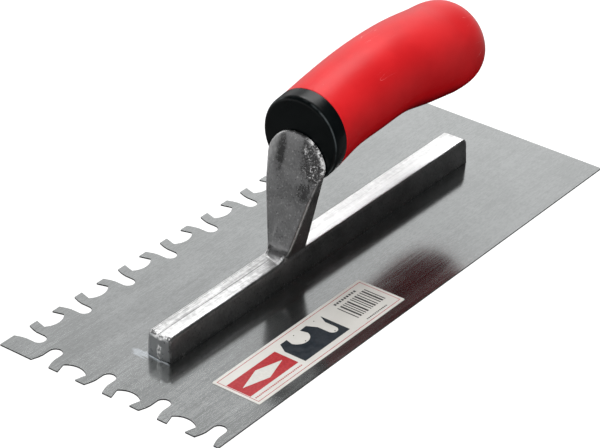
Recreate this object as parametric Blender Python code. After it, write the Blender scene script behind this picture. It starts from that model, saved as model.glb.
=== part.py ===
"""Notched trowel: a thin steel blade on a die-cast mounting with a two-part handle.

Frame: metres, +Z up. The blade's underside lies on Z = 0 with its middle at the origin.
+X points to the toe (a notched end), -Y to the notched long side, +Y to the plain one.
"""
import math

import bmesh
import bpy
from mathutils import Vector

GAP = 0.0003                      # clearance kept between pieces that touch

# Blade
BLADE_LENGTH = 0.2794
BLADE_WIDTH = 0.1143
BLADE_THICKNESS = 0.0006
SLOT_DEPTH = 0.0127               # narrow notch with a round bottom and a flared mouth
SLOT_HALF_WIDTH = 0.0031
SLOT_MOUTH_HALF = 0.0047
SLOT_SHOULDER = (0.00358, 0.0031) # where the flare bends, as half width and depth
SLOT_FLARE_DEPTH = 0.0054
SCOOP_DEPTH = 0.0078              # wide notch, undercut, with a shallow arc for its bottom
SCOOP_MOUTH_HALF = 0.0046
SCOOP_INNER_HALF = 0.00615
SCOOP_CORNER_DEPTH = 0.0053
LONG_PITCH = 0.0280               # from one slot to the next along the notched long edge
LONG_FIRST = 0.0133               # the toe corner to the middle of the first slot
LONG_SLOTS = 10
TOE_PITCH = 0.02845               # the same along the toe
TOE_FIRST = 0.02165
TOE_SLOTS = 4

# Mounting: bar, post and tang in one casting
BAR_TOE_X = 0.1073
BAR_HEEL_X = -0.1057
BAR_TOP_Z = 0.0126
BAR_BASE_HALF = 0.0063
BAR_TOP_HALF = 0.0057
BAR_EDGE_RADIUS = 0.0010
BAR_END_TAPER = 0.15              # narrowing of the rounded ends over their drop
BAR_HEEL_RADIUS = 0.0030
BAR_TOE_RADIUS = 0.0022
POST_REAR_X = 0.0156
POST_FOOT_Z = 0.0110              # starts inside the bar
POST_REAR_RADIUS = 0.0006
POST_FRONT_RADIUS = 0.0010
POST_FOOT_HALF = 0.0054
POST_FLARE = 0.232                # half width gained per unit of height
POST_FOOT_DEPTH = 0.0134
POST_LEAN = 0.235                 # front face's lean back per unit of height
POST_THINNING = 11.5              # extra lean towards the dome, per metre squared
POST_THINNING_Z = 0.0380
POST_FILLET = 0.0050              # hollow fillet where the post runs out on to the bar
POST_FILLET_STEPS = 6
POST_HEIGHTS = (0.0205, 0.0240, 0.0280, 0.0320, 0.0360, 0.0400, 0.0440, 0.0480, 0.0514)
DOME_CENTRE_Z = 0.0518
DOME_RADIUS = 0.0151
DOME_RIM = 0.0008
DOME_EASE = 0.0024                # eases the front face's bend at the dome
DOME_CROWN = 0.0026
DOME_CROWN_Z = (0.0360, 0.0560)   # the crown grows between these heights
DOME_CROWN_POWER = 1.5
DOME_ANGLES = (10, 18, 26, 35, 44, 53, 62, 71, 79)
TANG_ROOT = Vector((0.0163, 0.0, 0.0570))
TANG_TIP = Vector((-0.0700, 0.0, 0.0660))
TANG_ROOT_RADIUS = 0.0060
TANG_TIP_RADIUS = 0.0040
TANG_SIDES = 24
TANG_TIP_LENGTH = 0.0020          # the tip's last stretch, which narrows
TANG_TIP_EASE = 0.0012
BORE_FRONT_EXTRA = 0.0060         # the bore breaks out through the collar's front
BORE_END_EXTRA = 0.0010

# Rivets
RIVET_COUNT = 7
RIVET_END_MARGIN = 0.0110         # from the bar's end to its first rivet
RIVET_HEAD_RADIUS = 0.0030
RIVET_SHANK_RADIUS = 0.0020
RIVET_TOP_Z = 0.0090
RIVET_SHOULDER = 0.0001           # height of the head's chamfer
RIVET_TIP_CHAMFER = 0.0006
HOLE_CUTTER_BELOW = 0.0020        # cutters start this far under the blade
ROUND_SIDES = 20

# Handle: round sections given as (x, centre height, radius), front to rear
COLLAR_FRONT_X = POST_REAR_X - GAP
COLLAR_REAR_X = 0.0074
COLLAR_RADIUS = 0.0193
COLLAR_EDGE_RADIUS = 0.0022
COLLAR_DRAFT = 0.0001             # it is this much slimmer at its rear
COLLAR_FRONT_Z = 0.0624           # its axis carries on down the handle's curve
COLLAR_REAR_Z = 0.0637
HANDLE_STATIONS = (
    (0.0074, 0.0637, 0.01915),
    (-0.0080, 0.0671, 0.0188),
    (-0.0260, 0.0690, 0.0193),
    (-0.0440, 0.0699, 0.0195),
    (-0.0620, 0.0682, 0.0206),
    (-0.0800, 0.0659, 0.0209),
)
GRIP_CAP_LENGTH = 0.0222
GRIP_CAP_POWER = 3.3              # 2 would be an ellipse; more is blunter
GRIP_CAP_ANGLES = (18, 34, 48, 60, 70, 78, 84)
GRIP_CAP_SINK = 0.0010            # the axis drops by this much over the cap
HANDLE_SIDES = 40
HANDLE_STEPS = 16
GRIP_WALL = 0.0034
CORE_CAP_LENGTH = 0.0160

# Label
LABEL_X = (0.0074, 0.1070)
LABEL_Y = (0.0275, 0.0517)
LABEL_THICKNESS = 0.0002
LABEL_CORNER_RADIUS = 0.0006


def clear_scene():
    for obj in list(bpy.data.objects):
        bpy.data.objects.remove(obj, do_unlink=True)


def make_material(name, colour, roughness, metallic):
    material = bpy.data.materials.new(name)
    material.use_nodes = True
    shader = material.node_tree.nodes["Principled BSDF"]
    shader.inputs["Base Color"].default_value = (*colour, 1.0)
    shader.inputs["Roughness"].default_value = roughness
    shader.inputs["Metallic"].default_value = metallic
    return material


def make_object(name, bm, material=None, smooth_angle=None):
    """Turn a bmesh into a scene object; one without a material is a hidden helper."""
    bmesh.ops.recalc_face_normals(bm, faces=bm.faces)
    mesh = bpy.data.meshes.new(name)
    bm.to_mesh(mesh)
    bm.free()
    if smooth_angle is not None:
        mesh.shade_smooth()
        mesh.set_sharp_from_angle(angle=math.radians(smooth_angle))
    obj = bpy.data.objects.new(name, mesh)
    bpy.context.collection.objects.link(obj)
    if material is None:
        obj.hide_render = True
        obj.display_type = "WIRE"
    else:
        mesh.materials.append(material)
    return obj


def add_boolean(target, tool, operation):
    modifier = target.modifiers.new(f"{operation.lower()}_{tool.name}", "BOOLEAN")
    modifier.operation = operation
    modifier.solver = "EXACT"
    modifier.object = tool


def skin_rings(bm, rings):
    """Join closed rings of equal point count into a tube with flat ends."""
    rows = [[bm.verts.new(point) for point in ring] for ring in rings]
    for row, following in zip(rows, rows[1:]):
        for i in range(len(row)):
            j = (i + 1) % len(row)
            bm.faces.new((row[i], row[j], following[j], following[i]))
    bm.faces.new(rows[0])
    bm.faces.new(rows[-1])


def prism(outline, z_low, z_high):
    """Extrude a closed outline of (x, y) points straight up."""
    bm = bmesh.new()
    face = bm.faces.new([bm.verts.new((x, y, z_low)) for x, y in outline])
    extruded = bmesh.ops.extrude_face_region(bm, geom=[face])
    top = [item for item in extruded["geom"] if isinstance(item, bmesh.types.BMVert)]
    bmesh.ops.translate(bm, verts=top, vec=(0, 0, z_high - z_low))
    return bm


def arc(centre_x, centre_y, radius, start, end, steps):
    """Points round a circle from one angle to another, in degrees."""
    points = []
    for k in range(steps + 1):
        angle = math.radians(start + (end - start) * k / steps)
        points.append((centre_x + radius * math.cos(angle), centre_y + radius * math.sin(angle)))
    return points


def circle(radius, sides):
    """Points all the way round a circle about the origin."""
    return arc(0.0, 0.0, radius, 0, 360, sides)[:-1]


def turned(bm, centre_x, profile):
    """Add a solid turned about an upright axis; the profile is (radius, z) from the bottom up."""
    rings = [[(centre_x + x, y, z) for x, y in circle(radius, ROUND_SIDES)] for radius, z in profile]
    skin_rings(bm, rings)


def smoothstep(value, low, high):
    """0 below low, 1 above high, and an even S-curve between them."""
    t = min(max((value - low) / (high - low), 0.0), 1.0)
    return t * t * (3.0 - 2.0 * t)


# ---------------------------------------------------------------- blade

def slot_points():
    """Narrow notch as (offset along the edge, depth from the edge)."""
    shoulder_half, shoulder_depth = SLOT_SHOULDER
    left = [(-SLOT_MOUTH_HALF, 0.0), (-shoulder_half, shoulder_depth), (-SLOT_HALF_WIDTH, SLOT_FLARE_DEPTH)]
    bottom = arc(0.0, SLOT_DEPTH - SLOT_HALF_WIDTH, SLOT_HALF_WIDTH, 180, 0, 10)
    right = [(-offset, depth) for offset, depth in reversed(left)]
    return left + bottom + right


def scoop_points():
    """Wide undercut notch as (offset along the edge, depth from the edge)."""
    rise = SCOOP_DEPTH - SCOOP_CORNER_DEPTH
    radius = (SCOOP_INNER_HALF ** 2 + rise ** 2) / (2 * rise)
    half_angle = math.degrees(math.asin(SCOOP_INNER_HALF / radius))
    bottom = arc(0.0, SCOOP_DEPTH - radius, radius, 90 + half_angle, 90 - half_angle, 9)
    return [(-SCOOP_MOUTH_HALF, 0.0), *bottom, (SCOOP_MOUTH_HALF, 0.0)]


def notched_edge(first, pitch, slots):
    """Notches along one edge as (distance, depth): slots with a scoop between each pair."""
    points = []
    for k in range(slots):
        centre = first + k * pitch
        points += [(centre + offset, depth) for offset, depth in slot_points()]
        if k < slots - 1:
            middle = centre + pitch / 2
            points += [(middle + offset, depth) for offset, depth in scoop_points()]
    return points


def blade_outline():
    half_length, half_width = BLADE_LENGTH / 2, BLADE_WIDTH / 2
    long_edge = notched_edge(LONG_FIRST, LONG_PITCH, LONG_SLOTS)
    toe_edge = notched_edge(TOE_FIRST, TOE_PITCH, TOE_SLOTS)
    outline = [(half_length, -half_width)]
    outline += [(half_length - depth, distance - half_width) for distance, depth in toe_edge]
    outline += [(half_length, half_width), (-half_length, half_width), (-half_length, -half_width)]
    outline += [(half_length - distance, depth - half_width) for distance, depth in reversed(long_edge)]
    return outline


def rivet_positions():
    first = BAR_TOE_X - RIVET_END_MARGIN
    last = BAR_HEEL_X + RIVET_END_MARGIN
    return [first + (last - first) * k / (RIVET_COUNT - 1) for k in range(RIVET_COUNT)]


def hole_cutter(name, radius, z_high):
    """One cutter for the holes of all the rivets."""
    bm = bmesh.new()
    for x in rivet_positions():
        turned(bm, x, ((radius, -HOLE_CUTTER_BELOW), (radius, z_high)))
    return make_object(name, bm)


def build_blade(material):
    blade = make_object("blade", prism(blade_outline(), 0.0, BLADE_THICKNESS), material)
    holes = hole_cutter("blade_hole_cutter", RIVET_HEAD_RADIUS + GAP, HOLE_CUTTER_BELOW)
    add_boolean(blade, holes, "DIFFERENCE")


# ---------------------------------------------------------------- mounting

def rounded_drop(distance, radius):
    """How far a rounded end has fallen away at a distance from its tip."""
    if distance >= radius:
        return 0.0
    return radius - math.sqrt(radius ** 2 - (radius - distance) ** 2)


def bar_ring(x, end_drop, side_drop):
    """Section of the bar: tapered sides and rounded top edges."""
    base = BAR_BASE_HALF - side_drop
    top = BAR_TOP_HALF - side_drop
    low = BLADE_THICKNESS + GAP
    high = BAR_TOP_Z - end_drop
    radius = BAR_EDGE_RADIUS
    right = [(base, low), *arc(top - radius, high - radius, radius, 0, 90, 3)]
    left = [(-y, z) for y, z in reversed(right)]
    return [(x, y, z) for y, z in right + left]


def build_bar(material):
    """Bar with a round-topped heel end and a more tightly rounded toe end."""
    rings = []
    angles = [math.radians(18 * k) for k in range(6)]
    for angle in angles:
        distance = BAR_HEEL_RADIUS * (1 - math.cos(angle))
        drop = rounded_drop(distance, BAR_HEEL_RADIUS)
        rings.append(bar_ring(BAR_HEEL_X + distance, drop, BAR_END_TAPER * drop))
    for angle in reversed(angles):
        distance = BAR_TOE_RADIUS * (1 - math.cos(angle))
        drop = rounded_drop(distance, BAR_TOE_RADIUS)
        rings.append(bar_ring(BAR_TOE_X - distance, drop, BAR_END_TAPER * drop))
    bm = bmesh.new()
    skin_rings(bm, rings)
    return make_object("mounting", bm, material, smooth_angle=35)


def post_half_width(z):
    """A straight flare from the bar's width up to the round dome."""
    flare = POST_FOOT_HALF + POST_FLARE * (z - BAR_TOP_Z)
    if z < DOME_CENTRE_Z:
        return flare
    return min(flare, math.sqrt(max(DOME_RADIUS ** 2 - (z - DOME_CENTRE_Z) ** 2, 0.0)))


def post_edge_depth(z):
    """Front-to-back depth of the post at its side edges."""
    depth = POST_FOOT_DEPTH - POST_LEAN * (z - BAR_TOP_Z)
    depth -= POST_THINNING * max(z - POST_THINNING_Z, 0.0) ** 2
    depth = (depth + DOME_RIM + math.hypot(depth - DOME_RIM, DOME_EASE)) / 2
    below = min(max(BAR_TOP_Z + POST_FILLET - z, 0.0), POST_FILLET)
    return depth + POST_FILLET - math.sqrt(POST_FILLET ** 2 - below ** 2)


def post_ring(z):
    """Horizontal section: flat at the back, gently crowned at the front, rounded corners."""
    half = post_half_width(z)
    edge = post_edge_depth(z)
    front = POST_REAR_X + edge
    crown = DOME_CROWN * smoothstep(z, *DOME_CROWN_Z) * (half / DOME_RADIUS) ** DOME_CROWN_POWER
    rear = min(POST_REAR_RADIUS, 0.4 * edge, 0.3 * half)
    nose = min(POST_FRONT_RADIUS, 0.5 * edge, 0.3 * half)
    steps = 10
    face = []
    for k in range(1, steps):
        across = 1 - 2 * k / steps
        face.append((front + crown * (1 - across ** 2), (half - nose) * across))
    outline = [
        *arc(POST_REAR_X + rear, rear - half, rear, 270, 180, 2),
        *arc(POST_REAR_X + rear, half - rear, rear, 180, 90, 2),
        *arc(front - nose, half - nose, nose, 90, 0, 2),
        *face,
        *arc(front - nose, nose - half, nose, 0, -90, 2),
    ]
    return [(x, y, z) for x, y in outline]


def build_post():
    """Post with its dome, closed by a small flat at the very top."""
    heights = [POST_FOOT_Z, BAR_TOP_Z]
    heights += [BAR_TOP_Z + POST_FILLET * k / POST_FILLET_STEPS for k in range(1, POST_FILLET_STEPS + 1)]
    heights += POST_HEIGHTS
    heights += [DOME_CENTRE_Z + DOME_RADIUS * math.sin(math.radians(angle)) for angle in DOME_ANGLES]
    bm = bmesh.new()
    skin_rings(bm, [post_ring(z) for z in heights])
    return make_object("post_shape", bm)


def tang_rings(extra=0.0, start_extra=0.0, end_extra=0.0):
    """Rings of the tapered tang, grown by extra all round and at its two ends."""
    axis = (TANG_TIP - TANG_ROOT).normalized()
    across = Vector((0.0, 1.0, 0.0))
    up = axis.cross(across).normalized()
    end = TANG_TIP + axis * end_extra
    stages = (
        (TANG_ROOT - axis * start_extra, TANG_ROOT_RADIUS),
        (end - axis * TANG_TIP_LENGTH, TANG_TIP_RADIUS),
        (end, TANG_TIP_RADIUS - TANG_TIP_EASE),
    )
    rings = []
    for centre, radius in stages:
        section = circle(radius + extra, TANG_SIDES)
        rings.append([centre + across * a + up * b for a, b in section])
    return rings


def build_tang():
    bm = bmesh.new()
    skin_rings(bm, tang_rings())
    return make_object("tang_shape", bm)


def build_mounting(material):
    mounting = build_bar(material)
    add_boolean(mounting, build_post(), "UNION")
    add_boolean(mounting, build_tang(), "UNION")
    holes = hole_cutter("mounting_hole_cutter", RIVET_SHANK_RADIUS + GAP, RIVET_TOP_Z + GAP)
    add_boolean(mounting, holes, "DIFFERENCE")


# ---------------------------------------------------------------- rivets

def build_rivets(material):
    """Flush rivets driven up through the blade into blind holes in the bar."""
    profile = (
        (RIVET_HEAD_RADIUS, 0.0),
        (RIVET_HEAD_RADIUS, BLADE_THICKNESS - RIVET_SHOULDER),
        (RIVET_SHANK_RADIUS, BLADE_THICKNESS),
        (RIVET_SHANK_RADIUS, RIVET_TOP_Z - RIVET_TIP_CHAMFER),
        (RIVET_SHANK_RADIUS - RIVET_TIP_CHAMFER, RIVET_TOP_Z),
    )
    for number, x in enumerate(rivet_positions(), start=1):
        bm = bmesh.new()
        turned(bm, 0.0, profile)
        rivet = make_object(f"rivet_{number}", bm, material, smooth_angle=35)
        rivet.location = (x, 0.0, 0.0)


# ---------------------------------------------------------------- handle

def handle_section(x):
    """Centre height and radius of the handle at x, on a smooth curve through the stations."""
    stations = HANDLE_STATIONS
    last = len(stations) - 2
    index = 0
    while index < last and x < stations[index + 1][0]:
        index += 1
    x0, x1 = stations[index][0], stations[index + 1][0]
    t = (x - x0) / (x1 - x0)
    before = stations[max(index - 1, 0)]
    after = stations[min(index + 2, len(stations) - 1)]
    result = []
    for axis in (1, 2):
        p0, p1 = stations[index][axis], stations[index + 1][axis]
        slope0 = (p1 - before[axis]) / (x1 - before[0]) * (x1 - x0)
        slope1 = (after[axis] - p0) / (after[0] - x0) * (x1 - x0)
        curve = (2 * t ** 3 - 3 * t ** 2 + 1) * p0 + (t ** 3 - 2 * t ** 2 + t) * slope0
        curve += (3 * t ** 2 - 2 * t ** 3) * p1 + (t ** 3 - t ** 2) * slope1
        result.append(curve)
    return result


def round_ring(x, centre_z, radius):
    return [(x, y, centre_z + z) for y, z in circle(radius, HANDLE_SIDES)]


def handle_rings(inset, cap_length):
    """Rings of the handle's body from the collar to its blunt rear end, inset all round."""
    rear = HANDLE_STATIONS[-1][0]
    rings = []
    for k in range(HANDLE_STEPS + 1):
        x = COLLAR_REAR_X + (rear - COLLAR_REAR_X) * k / HANDLE_STEPS
        centre_z, radius = handle_section(x)
        rings.append(round_ring(x, centre_z, radius - inset))
    centre_z, radius = handle_section(rear)
    for angle in GRIP_CAP_ANGLES:
        along = math.sin(math.radians(angle))
        shrink = (1 - along ** GRIP_CAP_POWER) ** (1 / GRIP_CAP_POWER)
        ring_z = centre_z - GRIP_CAP_SINK * along
        rings.append(round_ring(rear - cap_length * along, ring_z, (radius - inset) * shrink))
    return rings


def collar_centre(x):
    share = (x - COLLAR_REAR_X) / (COLLAR_FRONT_X - COLLAR_REAR_X)
    return COLLAR_REAR_Z + (COLLAR_FRONT_Z - COLLAR_REAR_Z) * share


def build_core(material):
    """Hard core: the bare collar at the front, the part under the grip, and the tang's bore."""
    rings = []
    for along, out in arc(0.0, 0.0, COLLAR_EDGE_RADIUS, 0, 90, 4):
        ring_x = COLLAR_FRONT_X - COLLAR_EDGE_RADIUS + along
        radius = COLLAR_RADIUS - COLLAR_EDGE_RADIUS + out
        rings.append(round_ring(ring_x, collar_centre(ring_x), radius))
    rear_x = COLLAR_REAR_X + GAP
    rings.append(round_ring(rear_x, COLLAR_REAR_Z, COLLAR_RADIUS - COLLAR_DRAFT))
    inner = handle_rings(GRIP_WALL + GAP, CORE_CAP_LENGTH)
    inner_front = [(rear_x, y, z) for _, y, z in inner[0]]
    bm = bmesh.new()
    skin_rings(bm, [*rings, inner_front, *inner])
    core = make_object("handle_core", bm, material, smooth_angle=35)
    bore = bmesh.new()
    skin_rings(bore, tang_rings(GAP, BORE_FRONT_EXTRA, BORE_END_EXTRA))
    add_boolean(core, make_object("tang_bore_cutter", bore), "DIFFERENCE")


def build_grip(material):
    """Soft grip moulded over the core: outer skin, open front, and the core's cavity."""
    outer = handle_rings(0.0, GRIP_CAP_LENGTH)
    inner = handle_rings(GRIP_WALL, CORE_CAP_LENGTH + GAP)
    bm = bmesh.new()
    skin_rings(bm, [*reversed(outer), *inner])
    make_object("grip", bm, material, smooth_angle=50)


# ---------------------------------------------------------------- label

def build_label(material):
    """Paper label stuck to the top of the blade, with rounded corners."""
    radius = LABEL_CORNER_RADIUS
    left, right = LABEL_X[0] + radius, LABEL_X[1] - radius
    bottom, top = LABEL_Y[0] + radius, LABEL_Y[1] - radius
    outline = [
        *arc(right, top, radius, 0, 90, 3),
        *arc(left, top, radius, 90, 180, 3),
        *arc(left, bottom, radius, 180, 270, 3),
        *arc(right, bottom, radius, 270, 360, 3),
    ]
    low = BLADE_THICKNESS + GAP
    make_object("label", prism(outline, low, low + LABEL_THICKNESS), material)


def main():
    clear_scene()
    build_blade(make_material("blade_steel", (0.60, 0.60, 0.60), 0.28, 1.0))
    build_mounting(make_material("cast_aluminium", (0.62, 0.62, 0.62), 0.38, 1.0))
    build_rivets(make_material("rivet_steel", (0.55, 0.55, 0.55), 0.35, 1.0))
    build_core(make_material("core_plastic", (0.012, 0.012, 0.014), 0.32, 0.0))
    build_grip(make_material("grip_rubber", (0.62, 0.02, 0.022), 0.42, 0.0))
    build_label(make_material("label_paper", (0.86, 0.85, 0.80), 0.45, 0.0))


main()
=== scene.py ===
"""Looks of the notched trowel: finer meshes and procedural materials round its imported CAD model.

Metres, +Z up. The blade's underside lies on Z = 0 with its middle at the origin, +X points to
the toe, -Y to the notched long side and +Y to the plain one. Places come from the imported
nodes' boxes, and everything else from the named sizes below.
"""

import math

import bmesh
import bpy
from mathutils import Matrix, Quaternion, Vector, noise


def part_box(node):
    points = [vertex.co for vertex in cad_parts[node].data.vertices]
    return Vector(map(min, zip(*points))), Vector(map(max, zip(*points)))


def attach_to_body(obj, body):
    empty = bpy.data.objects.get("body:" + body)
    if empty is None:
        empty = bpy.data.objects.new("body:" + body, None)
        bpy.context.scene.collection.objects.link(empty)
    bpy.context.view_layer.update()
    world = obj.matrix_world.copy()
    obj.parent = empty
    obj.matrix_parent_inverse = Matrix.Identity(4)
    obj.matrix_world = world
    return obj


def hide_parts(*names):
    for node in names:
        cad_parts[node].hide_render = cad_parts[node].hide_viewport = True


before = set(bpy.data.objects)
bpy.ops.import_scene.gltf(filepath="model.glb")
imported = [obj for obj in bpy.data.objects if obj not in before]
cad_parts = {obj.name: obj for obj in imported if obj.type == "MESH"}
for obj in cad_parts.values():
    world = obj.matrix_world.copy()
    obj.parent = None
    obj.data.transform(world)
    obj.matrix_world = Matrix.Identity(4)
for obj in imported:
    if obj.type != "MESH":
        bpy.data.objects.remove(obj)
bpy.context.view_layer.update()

# Camera
CAMERA_TARGET = Vector((0.0257, 0.0093, 0.0300))
CAMERA_DISTANCE = 1.1523
CAMERA_AZIMUTH = 126.51
CAMERA_ELEVATION = 31.20
CAMERA_ROLL = 1.44
CAMERA_LENS = 165.1

# Blade and its notches
BLADE_LOW, BLADE_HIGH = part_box("blade")
SLOT_DEPTH = 0.0127               # narrow notch with a round bottom and a flared mouth
SLOT_HALF_WIDTH = 0.0031
SLOT_MOUTH_HALF = 0.0047
SLOT_SHOULDER = (0.00358, 0.0031)
SLOT_FLARE_DEPTH = 0.0054
SCOOP_DEPTH = 0.0078              # wide notch, undercut, with a shallow arc for its bottom
SCOOP_MOUTH_HALF = 0.0046
SCOOP_INNER_HALF = 0.00615
SCOOP_CORNER_DEPTH = 0.0053
LONG_PITCH, LONG_FIRST, LONG_SLOTS = 0.0280, 0.0133, 10
TOE_PITCH, TOE_FIRST, TOE_SLOTS = 0.02845, 0.02165, 4
BLADE_CORNER_RADIUS = 0.00028
BLADE_BURR_RADIUS = 0.00007
SLOT_STEPS, SCOOP_STEPS = 28, 22  # facets round the bottoms of the notches

# Mounting: bar, post and tang
BAR_LOW_X, BAR_HIGH_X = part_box("mounting")[0].x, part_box("mounting")[1].x
BAR_TOP_TOE_Z, BAR_TOP_HEEL_Z = 0.0123, 0.0129
BAR_BASE_HALF = 0.0063
BAR_TOP_HALF_TOE, BAR_TOP_HALF_HEEL = 0.0059, 0.0057
BAR_EDGE_TOE, BAR_EDGE_HEEL = 0.0014, 0.0007     # radius of the top edges
BAR_HEEL_RADIUS = 0.0030
BAR_END_TAPER = 0.15              # narrowing of the rounded ends over their drop
BAR_END_ROUNDING = 0.45           # growth of the top edges' radius over the ends' drop
BAR_TOE_RADIUS = 0.0024
BAR_TOE_DROP = 0.7                # height of the toe end's rounding over its length
POST_REAR_X = 0.0156
POST_FOOT_Z = 0.0100
POST_SPREAD_Z = 0.0126            # where the post leaves the bar
POST_REAR_RADIUS = 0.0006
POST_FRONT_RADIUS = 0.0010
POST_FOOT_HALF = 0.0054
POST_FLARE = 0.232                # half width gained per unit of height
POST_FOOT_DEPTH = 0.0134
POST_LEAN = 0.235                 # front face's lean back per unit of height
POST_THINNING = 11.5              # extra lean towards the dome, per metre squared
POST_THINNING_Z = 0.0380
POST_FILLET = 0.0046              # hollow fillet where the post runs out on to the bar
POST_FILLET_SKEW = 0.55           # it reaches further on the plain side
POST_FACE_STEPS = 18
POST_RING_STEP, POST_RINGS = 0.0007, 60
DOME_CENTRE_Z = 0.0518
DOME_RADIUS = 0.0151
DOME_RIM = 0.0008
DOME_EASE = 0.0024                # eases the front face's bend at the dome
DOME_CROWN = 0.0026
DOME_CROWN_Z = (0.036, 0.056)     # where the crown starts and where it is full
DOME_CROWN_POWER = 1.5
TANG_ROOT = Vector((0.0163, 0.0, 0.0570))
TANG_TIP = Vector((-0.0700, 0.0, 0.0660))
TANG_ROOT_RADIUS, TANG_TIP_RADIUS = 0.0060, 0.0040
TANG_TIP_LENGTH, TANG_TIP_EASE = 0.0020, 0.0012
ROUND_SIDES = 48                  # facets round the tang and the rivets
CAST_VOXEL = 0.00045
CAST_SMOOTHING = 2                # passes over the welded skin

# Rivets: dished head as (share of the head's radius, height)
RIVET_DISH = ((0.30, 0.00006), (0.62, 0.00003), (0.90, 0.0))
RIVET_EDGE = 0.00005              # eased rim of the head, and its lower and upper height
RIVET_EDGE_Z = (0.00003, 0.00010)
RIVET_TIP_CHAMFER = 0.0006
HOLE_REACH = 0.002                # how far the hole cutters reach past the blade's underside

# Handle: round sections as (x, centre height, radius), front to rear
FIT = 0.0001                      # room left between finished pieces that touch
CORE_SIDES, GRIP_SIDES = 96, 128
CORE_STEPS, GRIP_STEPS = 24, 48
COLLAR_FRONT_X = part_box("handle_core")[1].x
COLLAR_REAR_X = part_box("grip")[1].x
COLLAR_RADIUS = 0.0193
COLLAR_EDGE_RADIUS = 0.0022
COLLAR_FRONT_Z, COLLAR_REAR_Z = 0.0624, 0.0637
HANDLE_STATIONS = (
    (0.0074, 0.0637, 0.01915),
    (-0.0080, 0.0671, 0.0188),
    (-0.0260, 0.0690, 0.0193),
    (-0.0440, 0.0699, 0.0195),
    (-0.0620, 0.0682, 0.0206),
    (-0.0800, 0.0659, 0.0209),
)
GRIP_CAP_LENGTH = 0.0222
GRIP_CAP_POWER = 3.3              # 2 would be an ellipse; more is blunter
GRIP_LIP_RADIUS = 0.0005
GRIP_CAP_SINK = 0.0010            # how far the rear end's middle sinks
GRIP_WALL = 0.0034
GRIP_SWELL = 0.00010              # unevenness of the moulding
CORE_CAP_LENGTH = 0.0160
COLLAR_STEP = 0.0003              # eased edge where the collar meets the grip
COLLAR_STEP_EASE = 0.0001
BORE_FRONT_EXTRA, BORE_END_EXTRA = 0.006, 0.001

# Marks on the blade and the casting: centre, and reach along each axis
RUBBED_PLACE = ((BAR_HIGH_X + 0.0010, -0.0075, BLADE_HIGH.z), (0.0034, 0.0075, 0.004))
SEAM_PLACE = ((BAR_HIGH_X + 0.0006, 0.0, BLADE_HIGH.z), (0.0016, 0.0095, 0.004))
DOME_STAIN = ((0.0175, -0.0066, 0.0560), (0.0080, 0.0040, 0.0150))
POST_STAIN = ((0.0212, 0.0076, 0.0430), (0.0070, 0.0052, 0.0066))
FOOT_STAIN = ((0.0289, -0.0042, 0.0140), (0.0034, 0.0026, 0.0030))
TORN_PLACE = ((0.0168, 0.0105, 0.0580), (0.0090, 0.0085, 0.0190))
DOME_DISC = ((0.0, 0.0, DOME_CENTRE_Z), (1.0, DOME_RADIUS, DOME_RADIUS))
SHINE_PLACE = ((0.0262, -0.0036, 0.0225), (0.0040, 0.0018, 0.0080))
RIDGE_X, RIDGE_Z, RIDGE_SIDES = 0.0302, 0.0128, (-0.0042, 0.0046)
RIDGE_REACH = (0.0030, 0.0016, 0.0022)
PARTING_Y = 0.0004                # line down the toe face
CREASE_Y = -0.0004                # line along the bar's top
PARTING_PLACE = ((BAR_HIGH_X, PARTING_Y, 0.0050), (0.0040, 0.0016, 0.0060))
BROW_PLACE = ((BAR_HIGH_X - 0.0012, 0.0010, 0.0114), (0.0030, 0.0065, 0.0022))
TATTERED = 9.0                    # how strongly a texture breaks up the outline of some marks

# Relief of the casting
WAVE_SCALE, WAVE_DEPTH = 90, 0.00006
GRAIN_SCALE, GRAIN_DEPTH = 520, 0.00003
LUMP_SCALE, LUMP_DEPTH = 650, 0.00020             # on top of the toe end
LUMP_Z = (0.0085, 0.0110)
PARTING_WIDTH, PARTING_HEIGHT = 0.0006, 0.00030
TOE_FACE_BULGE = 0.00040          # how far the toe face falls back at its sides

# Light
WALL = 0.95                       # the bright wall on the notched side
WALL_DROP = 0.28                  # how much lower the wall ends on the toe's side
CEILING = 0.22                    # above it
CEILING_TOE = 0.02                # above it on the toe's side
SKY_DARK = 0.05                   # everywhere else
BACKDROP = 0.92                   # what the camera sees behind the trowel
FLOOR_GLOW = 0.86                 # and below it
PANELS = (                        # name, azimuth, elevation, distance, size, power, mirrored
    ("rear_panel", 308, 62, 1.6, 0.9, 17, True),
    ("overhead_panel", 100, 76, 1.5, 1.3, 11, False),
    ("front_fill", 140, 26, 1.6, 1.2, 13, False),
)
WHITE = (1.0, 1.0, 1.0, 1.0)
FLOOR_HALF = 4.0
FLOOR_Z = -0.0001                 # just under the blade

# Label
LABEL_LOW, LABEL_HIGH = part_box("label")
PAPER_THICKNESS = 0.00016
INK_THICKNESS = 0.00002
LABEL_CORNER_RADIUS = 0.0006
PAPER_COLOURS = ((0.58, 0.565, 0.53), (0.64, 0.625, 0.59))
BORDER_MARGIN, BORDER_WIDTH = 0.0014, 0.00028
BLOCK_BOX = (0.0734, 0.1050, 0.0334, 0.0456)      # low and high x, low and high y
DIAMOND_MIDDLE, DIAMOND_HALF = (0.0892, 0.0395), (0.0130, 0.0038)
STRIPES_X, STRIPES_LOW_Y, STRIPES_HIGH_Y, STRIPE_COUNT = 0.0120, 0.0340, 0.0450, 12
STRIPE_WIDTH, WIDE_STRIPE_EXTRA = 0.00060, 0.00045
STRIPE_GAP, WIDE_GAP_EXTRA = 0.00085, 0.00040
RED_RULE = (0.0740, 0.1048, 0.0478, 0.0007, 0.0004, 0.0007)      # as dashes() takes them
BLACK_RULES = (
    (0.0155, 0.0315, 0.0316, 0.0011, 0.0006, 0.0012),
    (0.0160, 0.0300, 0.0484, 0.0007, 0.0004, 0.0007),
)
DOT_RADIUS = 0.00030
DOT_PLACES = ((0.0453, 0.0322), (0.0453, 0.0432), (0.0591, 0.0322), (0.0591, 0.0384))


# ---------------------------------------------------------------- mesh helpers

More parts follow.
